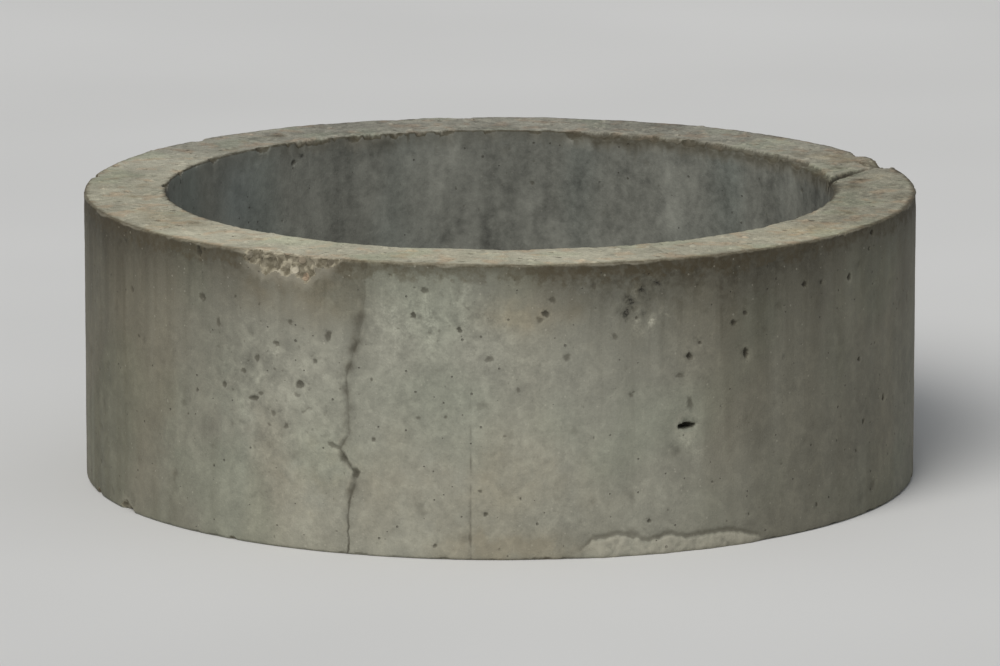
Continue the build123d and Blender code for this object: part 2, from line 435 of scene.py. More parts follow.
# brown, streaky skin on the left side; a little elsewhere; on the right side, from about -70 to 5 degrees, painted
# shade with a brown tint
brown_stain_and_shade_round = ring_knots([(-180, 0.80), (-165, 0.95), (-156, 0.94), (-148, 0.84), (-140, 0.66), (-132, 0.48), (-125, 0.22), (-119, 0.10), (-112, 0.03), (-95, 0.0),
                          (-80, 0.0), (-74, 0.04), (-66, 0.24), (-58, 0.54), (-48, 0.70), (-30, 0.66), (-12, 0.50), (5, 0.2), (40, 0.0), (75, 0.35), (100, 0.6),
                          (125, 0.15), (150, 0.3)])
draw = gn(base[OUT], (9, 9, 120), 105) * 0.5 + gn(base[OUT], (24, 24, 260), 106) * 0.5
brown_skin_and_shade = np.clip(brown_stain_and_shade_round * (1 + 0.24 * draw), 0, 1.2)
# patchy zones, where grout ran out between the stones
zone = 1.0 * patch(OUT, R_OUT, -121.5, 140, 62, 66) + 0.7 * patch(OUT, R_OUT, -97, 205, 50, 40)
zone += 0.5 * patch(OUT, R_OUT, -64, 180, 42, 42) + 0.9 * patch(OUT, R_OUT, 38, 90, 90, 55) + 0.8 * patch(OUT, R_OUT, 150, 185, 80, 50)
mottle[OUT] = np.clip(zone, 0, 1)
worm = gn(base[OUT], (6.5, 6.5, 5.5), 21) + 0.55 * gn(base[OUT], 3.4, 22) + 0.3 * gn(base[OUT], 14, 23)
worm = step(0.70, 1.25, worm) * np.clip(zone, 0, 1)
height[OUT] -= w_out[OUT] * worm * 0.65
# painted shade in the honeycomb's hollows
pit_shade[OUT] = np.maximum(pit_shade[OUT], worm * 0.28)

# stain that the rain draws down from the top edge: how dark, and how far it reaches in mm
band = ring_knots([(-180, 0.80), (-156, 0.92), (-140, 0.84), (-126, 0.82), (-116, 0.78), (-108, 0.62), (-100, 0.60), (-91, 0.50), (-84, 0.95), (-76, 1.0),
                   (-64, 1.0), (-50, 0.95), (-30, 0.60), (-5, 0.75), (20, 0.6), (45, 0.4), (75, 0.7), (100, 0.5), (125, 0.8), (150, 0.5)])
reach = ring_knots([(-180, 46), (-156, 50), (-140, 50), (-126, 52), (-116, 54), (-108, 42), (-100, 22), (-91, 20), (-84, 50), (-76, 74),
                    (-64, 70), (-50, 66), (-30, 34), (-5, 46), (20, 34), (45, 22), (75, 46), (100, 30), (125, 54), (150, 30)])
band, reach = (np.broadcast_to(v, (NS, NT)).astype(np.float32) for v in (band, reach / 1000))

# --- thin lip of slurry round the top's outer edge, and the recess under it --
low_edge = np.clip(2.3 + 1.5 * ring_noise(26, 31) + 0.9 * ring_noise(8, 32), 0.5, 5.5)
crust = np.clip(0.3 + 0.9 * ring_noise(33, 33), 0, 1)
down = TOP - z0[OUT]
on_lip = (1 - step(low_edge - 0.9, low_edge + 0.9, down)) * (down > -1)
height[OUT] += w_out[OUT] * on_lip * (0.08 + 0.42 * crust)
recess = step(low_edge - 0.8, low_edge + 1.5, down) * (1 - step(low_edge + 3, low_edge + 13, down))
height[OUT] -= w_out[OUT] * recess * (0.22 + 0.3 * crust)
lip[OUT] = np.maximum(lip[OUT], on_lip)

# --- ragged bulge of mortar along the foot at the front right ---------------
crown = np.interp(deg, [-79.5, -77.8, -74.3, -70.8, -66.4, -62.7, -57.8, -54.5, -52.5], [7, 16, 19, 14, 16, 14, 14.5, 9, 3])
crown = crown + 1.7 * ring_noise(13, 35) + 1.2 * ring_noise(5.5, 36)
reach_f = step(-80.5, -77.0, deg) * (1 - step(-54.5, -51.5, deg))
thick = np.clip(1.3 + 0.7 * ring_noise(24, 34), 0.5, 2.4)
on_foot = (1 - step(crown - 2.6, crown + 0.3, z0[OUT])) * reach_f
bulge = on_foot * (thick + 0.6 * gn(base[OUT], 12, 37) + 0.4 * gn(base[OUT], 5, 38))
height[OUT] += np.where(w_out[OUT] > 0.05, 1, 0) * bulge
# painted shade in the crease along the bulge's top
under = np.exp(-(((z0[OUT] - crown - 1.6) / 2.4) ** 2)) * reach_f
height[OUT] -= w_out[OUT] * under * 0.35
smudge_and_shade[OUT] += under * np.clip(0.12 + 0.45 * at_rows(OUT, 17, 39), 0, 0.5)
flash[OUT] = on_foot

# --- worn arrises -----------------------------------------------------------
ring_p = base.copy()
ring_p[..., 2] = np.round(ring_p[..., 2] / 200) * 200
nick = blank()
for k_, amp, thr, size in ((1, 1.3, 0.18, 21), (3, 2.4, 0.0, 15), (5, 2.2, 0.1, 12), (7, 2.2, 0.05, 17)):
    rr = np.where(kind == k_)[0]
    sel = np.arange(max(rr.min() - 4, 0), min(rr.max() + 5, NS))
    d = np.abs(sel - rr.mean())[:, None]
    fall = np.exp(-((d / (len(rr) * 0.55 + 1)) ** 2))
    q = ring_p[rr[0] : rr[0] + 1].copy()
    w = np.clip(gn(q, size, 50 + k_) + 0.45 * gn(q, size / 2.6, 60 + k_) - thr, 0, 1)
    fine = 0.35 + 0.65 * gn(base[sel], 6, 70 + k_)
    nick[sel] += np.minimum(amp * w * fall * np.clip(fine, 0.2, 1), 1.6 if k_ == 3 else 2.2)
height -= nick * np.where(w_bot > 0.95, 0, 1)

# --- hairline crack across the rim on the right, and a thin upright line at the front
line = np.interp(r0[TOPS][:, 0], [300, 305, 314, 329, 341, 353, 372], [7.6, 9.2, 11.8, 14.6, 15.8, 16.6, 17.5])
line = (line + 0.35 * line_noise(r0[TOPS][:, 0], 6, 81))[:, None]
off = np.radians(deg - line) * r0[TOPS]
open_w = np.interp(r0[TOPS][:, 0], [300, 306, 314, 329, 345, 372], [4.4, 3.8, 3.0, 2.4, 1.2, 0.9])[:, None]
shut = np.exp(-((off / open_w) ** 2)) * w_top[TOPS]
# the crack's darkness is painted shade
crack[TOPS] = shut * np.interp(r0[TOPS][:, 0], [300, 322, 340, 372], [1, 0.9, 0.5, 0.3])[:, None]
drop[TOPS] += shut * np.interp(r0[TOPS][:, 0], [300, 314, 345, 372], [5.0, 3.4, 2.4, 1.6])[:, None]
low = (1 - step(-1.5, 0.8, off)) * np.exp(np.clip(off, -200, 0) / 34) * (1 - 0.75 * step(318, 366, r0[TOPS]))
drop[TOPS] += low * 3.8 * np.clip(w_top[TOPS] + w_in[TOPS], 0, 1)
WALL_IN = np.where(kind == 4)[0]
easing = np.exp(-(TOP - ARRIS_IN - z0[WALL_IN]) / 9)  # the wall under the edge gives way with it
off = np.radians(deg - line[-1]) * R_IN
drop[WALL_IN] += (1 - step(-1.5, 0.8, off)) * np.exp(np.clip(off, -200, 0) / 34) * 3.8 * easing
thin = -93.9 + 0.10 * line_noise(zz, 30, 83) + 0.06 * line_noise(zz, 8, 84)
off = np.radians(deg - thin[:, None]) * R_OUT
hair = np.exp(-((off / 1.0) ** 2)) * (1 - step(130, 160, z0[OUT])) * np.clip(0.55 + 0.9 * line_noise(zz, 16, 85), 0, 1)[:, None]
height[OUT] -= hair * 0.4 * w_out[OUT]
crack[OUT] = np.maximum(crack[OUT], hair * 0.34)

# --- broken inner arris at the back right: a low, stained ledge --------------
ledge_w = ring_knots([(4, 0), (11, 6), (17, 9), (26, 12), (35, 9), (44, 6), (52, 3), (62, 5), (73, 6), (79, 1), (88, 0), (100, 1), (108, 4), (114, 1), (122, 3), (128, 4), (134, 0)])
ledge_w = np.clip(ledge_w + 2.6 * ring_noise(10, 131) + 1.3 * ring_noise(4.5, 132) - 1.0, 0, 15) * step(5, 10, deg) * (1 - step(132, 138, deg))
upto = np.abs(r0[TOPS] - R_IN)
ledge = (1 - step(ledge_w - 1.6, ledge_w + 0.8, upto)) * step(0.5, 2.5, ledge_w) * (r0[TOPS] < 330)
depth = 3.4 + 1.6 * ring_noise(11, 133) + 0.5 * ring_noise(4, 134)
drop[TOPS] += ledge * np.clip(depth + 0.4 * at_rows(TOPS, 4, 139), 1.5, 6)
drop[WALL_IN] += step(0.5, 2.5, ledge_w) * np.clip(depth, 1.5, 6) * easing
rim_dirt = ledge * np.clip(0.75 + 0.4 * at_rows(TOPS, 8, 135), 0, 1) * ring_knots([(-180, 1), (8, 1), (15, 0.8), (50, 0.8), (60, 1), (170, 1)])

# --- skin of the top and the bore -------------------------------------------
# painted light on the top: lighter at the front, darker towards the back and the right
rim_painted_light = ring_knots([(-180, 0.86), (-165, 0.88), (-150, 0.92), (-135, 1.10), (-120, 1.06), (-105, 1.04), (-90, 1.0), (-75, 1.05), (-60, 0.92), (-45, 0.89),
                        (-30, 0.81), (-15, 0.72), (0, 0.61), (15, 0.60), (45, 0.63), (75, 0.62), (90, 0.66), (120, 0.64), (135, 0.70), (150, 0.82), (165, 0.88)])
tone[TOPS] += w_top[TOPS] * (rim_painted_light - 1) / 0.35
rag_t = np.clip(1 + 0.7 * at_rows(TOPS, 11, 111) + 0.5 * at_rows(TOPS, 5, 112), 0, 2)
# XY angle, radius, half width, half depth, lighter/darker, browner
TOP_SKIN = [
    (127.5, 341, 9, 6, -0.8, 1.0), (132.0, 304, 10, 4, -0.5, 0.6), (-38.0, 342, 44, 22, 0.0, 0.8), (-11.0, 326, 20, 14, 0.0, -0.6),
    (-178.0, 351, 12, 10, 0.5, -0.4), (-165.0, 320, 7, 5, 0.6, 0.0), (-152.0, 335, 40, 20, 0.0, 0.5), (26.0, 347, 34, 20, -0.35, 0.9),
    (27.5, 333, 14, 8, 0.9, 0.0), (20.5, 356, 14, 9, -0.9, 0.8), (31.0, 322, 12, 6, -0.5, 0.5), (17.5, 326, 8, 6, -0.6, 0.6), (-126.5, 312, 12, 6, 0.5, 0.0), (-100.0, 335, 40, 20, 0.1, 0.2),
    (90.0, 335, 60, 16, -0.1, -0.3), (60.0, 306, 60, 5, -0.4, 0.3), (10.0, 348, 20, 12, 0.5, 0.3), (2.0, 318, 22, 9, -0.5, 0.6),
    (-22.0, 330, 16, 9, -0.4, 0.7), (-8.0, 362, 16, 7, -0.5, 0.4), (8.0, 330, 9, 8, -0.8, 0.8), (42.0, 352, 22, 10, 0.35, 0.2),
    (-172.0, 331, 9, 7, -0.5, 0.7), (-160.0, 345, 8, 6, 0.5, 0.4), (178.0, 322, 10, 7, -0.45, 0.5), (170.0, 352, 10, 8, 0.5, 0.2),
    (-146.0, 320, 10, 6, -0.5, 0.7), (-139.0, 352, 12, 6, 0.4, 0.0), (-131.0, 330, 10, 6, -0.4, 0.5), (-82.0, 346, 16, 6, 0.35, 0.0),
]
for ang, v, a, b, light, brown in TOP_SKIN:
    spread = patch(TOPS, None, ang, v, a, b) * rag_t * w_top[TOPS]
    tone[TOPS] += light * spread
    warm[TOPS] += brown * spread
rag_b = np.clip(1 + 0.6 * at_rows(BORE, (12, 12, 26), 121) + 0.4 * at_rows(BORE, (5, 5, 9), 122), 0, 2)
BORE_SKIN = [
    (58.3, 206, 8, 34, 0.55), (56.6, 182, 8, 22, 0.5), (84.4, 196, 8, 24, 0.65), (66.0, 228, 22, 22, 0.25), (99.0, 226, 22, 24, 0.42),
    (72.0, 205, 4, 4, -0.6), (75.5, 228, 6, 16, -0.25), (79.0, 200, 5, 40, -0.2), (91.0, 190, 22, 50, -0.18), (104.0, 178, 30, 22, -0.14),
    # the dark spots just under the inner edge here and at 36 degrees: stain and painted shade
    (110.3, 249, 8, 6, -0.7), (119.8, 247, 7, 6, -0.7), (127.0, 246, 8, 8, -0.5), (134.0, 236, 12, 10, -0.3), (139.0, 217, 26, 26, -0.12),
    (36.0, 235, 14, 10, -0.25), (-60.0, 120, 60, 60, 0.3), (-150.0, 90, 60, 60, -0.3), (-100.0, 180, 50, 40, -0.3), (0.0, 60, 60, 50, 0.25),
]
for ang, v, a, b, light in BORE_SKIN:
    tone[BORE] += light * patch(BORE, R_IN, ang, v, a, b) * rag_b * w_in[BORE]
# painted light: the bore's left side made paler
left_bore_painted_light = ring_knots([(60, 0.0), (90, 0.0), (105, 0.05), (115, 0.30), (125, 0.70), (135, 1.12), (145, 1.55), (160, 2.0), (175, 2.1), (-160, 1.8), (-130, 0.8),
                        (-100, 0.25), (-60, 0.0), (-20, 0.1), (10, 0.3), (30, 0.1)])
tone[BORE] += left_bore_painted_light * w_in[BORE]
warm[BORE] -= 0.7 * patch(BORE, R_IN, 144, 215, 26, 40) * w_in[BORE]
shade_and_dirt = blank()
# stain and painted shade under the inner arris
under_arris_shade_and_dirt = ring_knots([(-180, 0.42), (-165, 0.45), (-140, 0.45), (-90, 0.4), (-30, 0.45), (-10, 0.9), (8, 1.0), (18, 0.85), (50, 0.85), (62, 0.95), (74, 0.95),
                          (80, 0.55), (96, 0.5), (106, 0.85), (130, 0.80), (150, 0.62), (165, 0.50)])
reach_d = np.clip(12 + 6 * ring_noise(19, 123) + 3.5 * ring_noise(7, 124), 5, 24)
under_arris_shade_and_dirt = under_arris_shade_and_dirt * ring_knots([(-180, 0.35), (-165, 0.6), (-150, 1), (80, 1), (92, 0.7), (100, 0.5), (115, 0.6), (130, 0.65), (145, 0.5), (160, 0.35)])
fringe = ring_knots([(-180, 1), (-165, 0.6), (-150, 0), (130, 0), (145, 0.7), (160, 1)])  # the edge stays pale a little way down on the left
tone[BORE] += 0.65 * fringe * np.exp(-(((TOP - ARRIS_IN - z0[BORE]) / 5) ** 2))
shade_and_dirt[BORE] = (1 - step(reach_d * 0.35, reach_d, TOP - 2.5 - z0[BORE])) * under_arris_shade_and_dirt * np.clip(w_in[BORE] * 1.4, 0, 1)
shade_and_dirt[TOPS] = np.maximum(shade_and_dirt[TOPS], rim_dirt)
hem_w = ring_knots([(-180, 4), (-150, 5), (-126, 7), (-112, 8), (-84, 8), (-60, 7.5), (-30, 5), (20, 4), (60, 4), (120, 4)])
hem_w = hem_w * np.clip(1 + 0.5 * at_rows(TOPS, 11, 141) + 0.3 * at_rows(TOPS, 5, 142), 0.2, 2)
hem = 1 - step(hem_w * 0.35, hem_w * 1.2, R_OUT - r0[TOPS])
tone[TOPS] -= 1.05 * hem
warm[TOPS] += 0.55 * hem
# dirt and painted shade along the top's inner edge
edge_d = np.clip(ring_knots([(-180, 3.5), (-168, 3), (-150, 2), (-120, 1), (-60, 1), (-18, 1), (-8, 3), (4, 5), (12, 5), (22, 4), (45, 3), (75, 2), (100, 2), (130, 3), (150, 3.5), (165, 3.5)])
                 * (1 + 0.45 * ring_noise(14, 136) + 0.3 * ring_noise(5, 137)), 0.2, 26)
shade_and_dirt[TOPS] = np.maximum(shade_and_dirt[TOPS], (1 - step(edge_d * 0.55, edge_d * 1.25, upto)) * np.clip(0.85 + 0.3 * at_rows(TOPS, 7, 138), 0, 1) * (r0[TOPS] < 332))

height[w_bot[:, 0] > 0.9] = 0
pos = base + normal * height[..., None]
pos[..., 2] -= drop
pos[..., 2] = np.clip(pos[..., 2], 0.002, 259.995)


# --------------------------------------------------------------------------
# spalls: broken surfaces, scooped by balls that stand off the arris
# --------------------------------------------------------------------------
def ball(down, across, length):
    half = length / 2
    up = (half * half - down * down) / (2 * down)
    out = (half * half - across * across) / (2 * across)
    return out, up, math.sqrt(half * half + out * out + up * up)


def spall(angle, side, down, across, length, seed, rough=1.0, stones=1.0, fresh=1.0):
    """side is 'out', 'in' or 'foot'; sizes as in the drawing: down the wall, across the face, along the arris."""
    out, up, rad = ball(down, across, length)
    t = math.radians(angle)
    if side == "in":
        cr, cz = R_IN - out, TOP + up
    elif side == "foot":
        cr, cz = R_OUT + out, -up
    else:
        cr, cz = R_OUT + out, TOP + up
    c = np.array([cr * math.cos(t), cr * math.sin(t), cz], np.float32)
    v = pos - c
    d = np.sqrt((v * v).sum(-1))
    near = d < rad + 5
    if side != "foot":
        near &= w_bot[:, :1] < 0.5
    q = pos[near]
    vv, dd = v[near], d[near]
    warp = 1.5 * gn(q, 14, seed) + 0.9 * gn(q, 6, seed + 1)
    f1, f2, who = cells(q, 8.5, seed + 2)
    stone = np.sqrt(np.clip(1 - (f1 / 0.62) ** 2, 0, 1)) * (who > 0.45)
    goal = rad + rough * warp - 1.9 * stones * stone + rough * 0.6 * gn(q, 2.8, seed + 3)
    push = np.clip(goal - dd, 0, None)
    pos[near] = q + vv / dd[:, None] * push[:, None]
    chip[near] = np.maximum(chip[near], step(0.25, 1.1, push) * fresh)
    # inner chips: dirt and painted shade
    if side == "in":
        shade_and_dirt[near] = np.maximum(shade_and_dirt[near], step(0.25, 1.1, push) * (0.66 if 12 < angle < 52 else 0.85))


SPALLS = [
    (-119.5, "out", 19, 10, 66, 201, 1.1, 1.2, 1.0), (-113.9, "out", 11, 7, 36, 203, 1.0, 1.1, 1.0), (-124.7, "out", 13, 6, 28, 205, 1.0, 1.1, 1.0),
    (-122.3, "out", 21, 6, 24, 207, 0.8, 1.1, 1.0), (-117.0, "out", 23, 5, 22, 208, 0.8, 1.1, 1.0), (19.5, "out", 7, 27, 56, 211, 0.8, 0.8, 0.5),
    (27.5, "out", 5, 13, 34, 213, 0.8, 0.8, 0.5), (171.0, "out", 8, 7, 26, 215, 0.8, 0.8, 0.8), (96.0, "out", 9, 8, 30, 217, 0.8, 0.9, 0.8),
    (139.0, "out", 6, 7, 22, 219, 0.8, 0.8, 0.8), (70.0, "in", 8, 6.5, 34, 221, 0.8, 0.8, 0.25), (61.5, "in", 6, 6, 20, 223, 0.8, 0.8, 0.25),
    (54.0, "in", 7, 7, 24, 225, 0.8, 0.8, 0.25), (7.0, "in", 7, 8, 16, 227, 0.7, 0.6, 0.2), (109.0, "in", 6, 6, 22, 229, 0.8, 0.8, 0.3),
    (-152.0, "foot", 9, 6, 30, 231, 0.8, 0.9, 0.8), (-163.0, "foot", 6, 5, 18, 233, 0.8, 0.8, 0.8), (58.0, "foot", 10, 7, 32, 235, 0.8, 0.9, 0.8),
    (-36.0, "out", 4, 4, 16, 237, 0.6, 0.5, 0.6), (128.0, "in", 6, 4, 20, 239, 0.6, 0.5, 0.2), (84.0, "in", 5, 4, 15, 241, 0.6, 0.5, 0.2),
    (76.5, "in", 7, 5, 24, 253, 0.8, 0.6, 0.2), (48.0, "in", 8, 7, 26, 255, 0.8, 0.6, 0.2), (41.0, "in", 6, 6, 20, 257, 0.8, 0.6, 0.2),
    (33.5, "in", 8, 8, 30, 259, 0.8, 0.6, 0.2), (25.0, "in", 7, 9, 34, 261, 0.8, 0.6, 0.2), (17.0, "in", 6, 7, 22, 263, 0.8, 0.6, 0.2),
    (92.0, "in", 4, 4, 18, 265, 0.6, 0.5, 0.2), (99.5, "in", 6, 4, 20, 267, 0.6, 0.5, 0.2), (117.0, "in", 6, 5, 22, 269, 0.6, 0.5, 0.2),
    (137.0, "in", 6, 5, 22, 271, 0.6, 0.5, 0.2), (151.0, "in", 5, 5, 20, 273, 0.6, 0.5, 0.2), (165.0, "in", 5, 6, 24, 275, 0.6, 0.5, 0.2),
    (178.0, "in", 6, 6, 26, 277, 0.6, 0.5, 0.2), (-168.0, "in", 4, 5, 20, 279, 0.6, 0.5, 0.2),
    (-8.0, "foot", 7, 5, 22, 243, 0.7, 0.8, 0.8), (122.0, "foot", 7, 6, 24, 245, 0.7, 0.8, 0.8), (-128.5, "foot", 4, 3.5, 14, 247, 0.6, 0.5, 0.8),
    (-98.0, "foot", 3.5, 3, 16, 249, 0.6, 0.4, 0.6), (-84.0, "foot", 4, 3, 20, 251, 0.6, 0.4, 0.6),
]
for s in SPALLS:
    spall(*s)
chip = np.maximum(chip, step(1.3, 2.6, nick) * 0.6)

# keep everything inside the frame's box
pos[..., 0] = np.clip(pos[..., 0], -374.97, 374.97)
pos[..., 1] = np.clip(pos[..., 1], -374.97, 374.97)
pos[..., 2] = np.clip(pos[..., 2], 0.0, 259.98)


# --------------------------------------------------------------------------
# how hollow each spot is, for painted shade in the hollows and a paler skin where it stands proud
# --------------------------------------------------------------------------
def blurred(a, n):
    """Box blur over the closed grid, both ways, twice."""
    for _ in range(2):
        for axis in (0, 1):
            total = np.zeros_like(a)
            for s in range(-n, n + 1):
                total += np.roll(a, s, axis)
            a = total / (2 * n + 1)
    return a


along_n = ((pos - base) * normal).sum(-1)
n_blur = 2
cav = along_n - blurred(along_n, n_blur)
cav_wide = blurred(along_n, n_blur) - blurred(along_n, 8)
cavity = np.clip(cav / 0.35, -1, 1) * 0.6 + np.clip(cav_wide / 0.7, -1, 1) * 0.55

# --------------------------------------------------------------------------
# mesh: the full grid, thinned to the face budget where the surface is plain
# --------------------------------------------------------------------------
verts = (pos.reshape(-1, 3) / 1000).astype(np.float32)
a = np.arange(NS)[:, None] * NT + np.arange(NT)[None]
b = np.arange(NS)[:, None] * NT + (np.arange(NT)[None] + 1) % NT
c = ((np.arange(NS)[:, None] + 1) % NS) * NT + (np.arange(NT)[None] + 1) % NT
d = ((np.arange(NS)[:, None] + 1) % NS) * NT + np.arange(NT)[None]
quads = np.stack([a, b, c, d], -1).reshape(-1, 4).astype(np.int32)


def mesh_from(name, v, f):
    me = bpy.data.meshes.new(name)
    me.vertices.add(len(v))
    me.vertices.foreach_set("co", v.ravel())
    me.loops.add(f.size)
    me.loops.foreach_set("vertex_index", f.ravel())
    me.polygons.add(len(f))
    me.polygons.foreach_set("loop_start", np.arange(0, f.size, f.shape[1], dtype=np.int32))
    me.update(calc_edges=True)
    me.validate()
    return me


raw = mesh_from("raw", verts, quads)
raw_object = bpy.data.objects.new("raw", raw)
bpy.context.scene.collection.objects.link(raw_object)
thin_mod = raw_object.modifiers.new("thin", "DECIMATE")
thin_mod.ratio = min(1.0, MOST_FACES / (2 * len(quads)))
thin_mod.use_collapse_triangulate = True
deps = bpy.context.evaluated_depsgraph_get()
mesh = bpy.data.meshes.new_from_object(raw_object.evaluated_get(deps), depsgraph=deps)
mesh.name = "concrete_ring_visual"
bpy.data.objects.remove(raw_object)
bpy.data.meshes.remove(raw)
mesh.update()

# masks are read from the nearest point of the full grid
count = len(mesh.vertices)
co = np.empty(count * 3, np.float32)
mesh.vertices.foreach_get("co", co)
co = co.reshape(-1, 3)
tree = KDTree(len(verts))
for i, v in enumerate(verts):
    tree.insert(v, i)
tree.balance()
nearest = np.empty(count, np.int64)
grid_row = np.empty(count)  # place on the unrolled grid, between its rows and columns
grid_ang = np.empty(count)
run_len = np.concatenate([[0], np.cumsum(np.hypot(np.diff(section[:, 0]), np.diff(section[:, 1])))])
perimeter = run_len[-1] + math.hypot(section[0, 0] - section[-1, 0], section[0, 1] - section[-1, 1])
for i, v in enumerate(co):
    found = tree.find_n(v, 4)
    nearest[i] = found[0][1]
    w = [1 / (f[2] + 2e-5) for f in found]
    row, col = divmod(found[0][1], NT)
    s0, a0, ds, da = run_len[row], theta[col], 0.0, 0.0
    for f, g in zip(found, w):
        r_, c_ = divmod(f[1], NT)
        ds += g * ((run_len[r_] - s0 + perimeter / 2) % perimeter - perimeter / 2)
        da += g * ((theta[c_] - a0 + math.pi) % (2 * math.pi) - math.pi)
    grid_row[i] = s0 + ds / sum(w)
    grid_ang[i] = a0 + da / sum(w)
brown_and_shade_all = blank()
brown_and_shade_all[OUT] = brown_skin_and_shade * w_out[OUT]
fields = {
    "chip": chip,
    "pit_shade": pit_shade,
    "cavity": cavity,
    "seam": seam,
    "smudge_and_shade": np.clip(smudge_and_shade, 0, 1),
    "crack": crack,
    "lip": lip,
    "flash": flash,
    "tone": tone,
    "warm": warm,
    "brown": brown_and_shade_all,
    "mottle": mottle,
    "band": band,
    "reach": reach,
    "shade_and_dirt": shade_and_dirt,
    "on_top": np.broadcast_to(w_top, (NS, NT)),
    "in_bore": np.broadcast_to(w_in, (NS, NT)),
}
for name, field in fields.items():
    layer = mesh.attributes.new(name, "FLOAT", "POINT")
    layer.data.foreach_set("value", np.ascontiguousarray(field, np.float32).ravel()[nearest])
mesh.polygons.foreach_set("use_smooth", np.ones(len(mesh.polygons), bool))
mesh.update()

# the surface unrolled in strips, at one scale (the bottom at half of it)
starts = [run_len[np.where(kind == k)[0][0]] for k in range(8)] + [perimeter]
GAP = 10.0
SHEET = 1216.0
# from and to along the section, radius that it is unrolled at, XY angles, corner on the sheet, scale
STRIPS = [
    (starts[7] - perimeter, starts[1], 375, -180, 0, (GAP, GAP), 1.0),
    (starts[7] - perimeter, starts[1], 375, 0, 180, (GAP, GAP + 272), 1.0),
    (starts[4], starts[6], 300, -180, 45, (GAP, GAP + 544), 1.0),
    (starts[4], starts[6], 300, 45, 180, (GAP, GAP + 811), 1.0),
    (starts[1], starts[4], 337.5, -180, 20, (GAP, GAP + 1078), 1.0),
    (starts[1], starts[4], 337.5, 20, 100, (GAP + 725, GAP + 811), 1.0),
    (starts[1], starts[4], 337.5, 100, 180, (GAP + 725, GAP + 811 + 94), 1.0),
    (starts[6], starts[7], 337.5, -180, 180, (GAP, GAP + 1165), 0.5),
]
tri = np.empty(len(mesh.loops), np.int32)
mesh.loops.foreach_get("vertex_index", tri)
tri = tri.reshape(-1, 3)
fa = grid_ang[tri]
fa = fa[:, :1] + (fa - fa[:, :1] + math.pi) % (2 * math.pi) - math.pi
fs = grid_row[tri]
fs = fs[:, :1] + (fs - fs[:, :1] + perimeter / 2) % perimeter - perimeter / 2
mid_a = np.degrees(fa.mean(1))
turn = np.floor((mid_a + 180) / 360) * 2 * math.pi
fa, mid_a = fa - turn[:, None], mid_a - np.degrees(turn)
mid_s = fs.mean(1)
turn = np.floor((mid_s - (starts[7] - perimeter)) / perimeter) * perimeter
fs, mid_s = fs - turn[:, None], mid_s - turn
flat = np.zeros((len(tri), 3, 2))
for s_lo, s_hi, rad, a_lo, a_hi, (left, low_), scale_ in STRIPS:
    mine = (mid_s >= s_lo) & (mid_s < s_hi) & (mid_a >= a_lo) & (mid_a < a_hi)
    flat[mine, :, 0] = left + (fa[mine] - math.radians(a_lo)) * rad * scale_
    flat[mine, :, 1] = low_ + (fs[mine] - s_lo) * scale_
uv = mesh.uv_layers.new(name="OFBake")
uv.uv.foreach_set("vector", np.clip(flat / SHEET, 0.001, 0.999).astype(np.float32).ravel())

ring = bpy.data.objects.new("concrete_ring_visual", mesh)
bpy.context.scene.collection.objects.link(ring)


